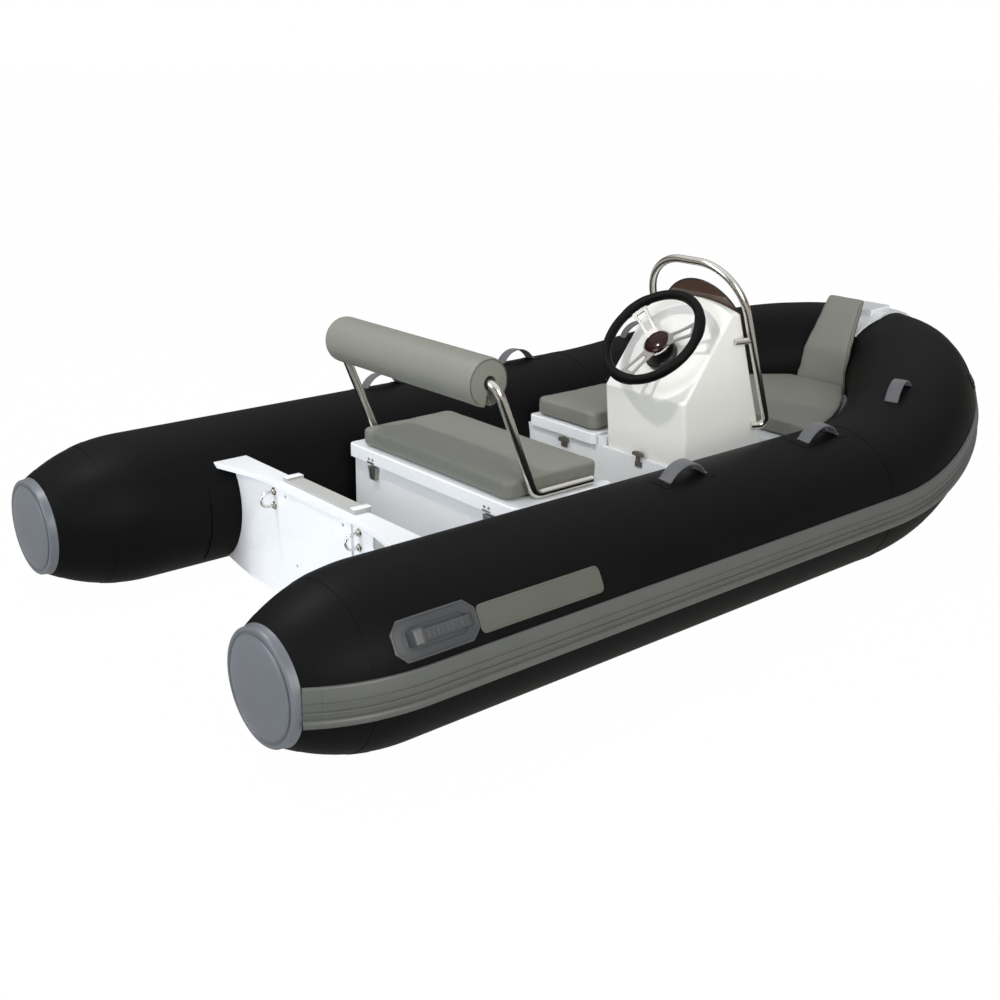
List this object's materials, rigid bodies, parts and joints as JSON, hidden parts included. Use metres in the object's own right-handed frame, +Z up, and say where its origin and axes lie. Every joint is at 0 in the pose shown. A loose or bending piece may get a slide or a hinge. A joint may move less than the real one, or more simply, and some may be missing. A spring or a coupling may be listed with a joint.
{
  "type": "rigid inflatable boat with a helm console",
  "caption": "Small rigid inflatable boat: black tubes round a white V hull, with aft seat locker, helm console, side seat and bow seat.",
  "frame": {"origin": "on the centreline at the waterline, about amidships", "axes": "+X to starboard, +Y to the bow, +Z up"},
  "size_m": [1.6668, 3.2869, 0.935],
  "materials": {
    "tube_fabric": "matt black coated fabric",
    "cap_rubber": "moulded grey rubber",
    "strake_rubber": "moulded grey rubber",
    "strap_rubber": "grey webbing and rubber",
    "gelcoat": "polished white gelcoat",
    "sole_grip": "white gelcoat with a fine grip",
    "cushion_vinyl": "grey vinyl over foam",
    "stainless": "polished stainless tube",
    "latch_metal": "dull steel",
    "hinge_metal": "satin stainless",
    "latch_rubber": "black rubber",
    "wheel_grip": "soft black grip",
    "hub_cap": "glossy burgundy",
    "black_plastic": "satin black moulding",
    "tinted_screen": "brown tinted acrylic",
    "motor_pad": "grey moulding"
  },
  "bodies": {
    "boat": {"tube_starboard": "tube_fabric", "tube_port": "tube_fabric", "tube_bow": "tube_fabric", "end_caps": "cap_rubber", "rub_strake": "strake_rubber", "air_valves": "black_plastic", "side_patches": "strake_rubber", "carry_handles": "strake_rubber", "strap_handles": "strap_rubber", "hull": "gelcoat", "transom": "gelcoat", "transom_pad": "motor_pad", "u_bolts": "stainless", "drain_cover": "motor_pad", "transom_flaps": "tube_fabric", "cockpit_sole": "sole_grip", "aft_locker": "gelcoat", "aft_latches": "latch_metal", "midship_locker": "gelcoat", "bow_deck": "gelcoat", "port_latch": "latch_rubber", "console_latch": "latch_rubber", "bow_cushion": "cushion_vinyl", "bow_backrest": "cushion_vinyl", "bow_nose": "gelcoat", "fixed_hinges": "hinge_metal"},
    "aft_lid": {"aft_seat_lid": "gelcoat", "aft_cushion": "cushion_vinyl", "backrest_frame": "stainless", "backrest_roll": "cushion_vinyl", "aft_lid_hinge": "hinge_metal"},
    "port_lid": {"port_seat_lid": "gelcoat", "port_cushion": "cushion_vinyl", "port_lid_hinge": "hinge_metal"},
    "console": {"console": "gelcoat", "windscreen": "tinted_screen", "helm_bezel": "black_plastic", "grab_rail": "stainless", "console_hinge": "hinge_metal"},
    "wheel": {"steering_rim": "wheel_grip", "steering_spokes": "stainless", "steering_hub": "hub_cap"}
  },
  "joints": [
    {"name": "aft_seat_hinge", "type": "hinge", "parent": "boat", "child": "aft_lid", "pos_m": [0, -0.379, 0.292], "axis": [-1, 0, 0], "range_deg": [0, 75]},
    {"name": "port_seat_hinge", "type": "hinge", "parent": "boat", "child": "port_lid", "pos_m": [-0.2265, 0.3565, 0.2975], "axis": [-1, 0, 0], "range_deg": [0, 85]},
    {"name": "console_tilt", "type": "hinge", "parent": "boat", "child": "console", "pos_m": [0.138, 0.393, 0.275], "axis": [-1, 0, 0], "range_deg": [0, 45]},
    {"name": "steering", "type": "hinge", "parent": "console", "child": "wheel", "pos_m": [0.133, 0.02, 0.654], "axis": [0, -0.7193, 0.6947], "range_deg": [-540, 540]}
  ]
}
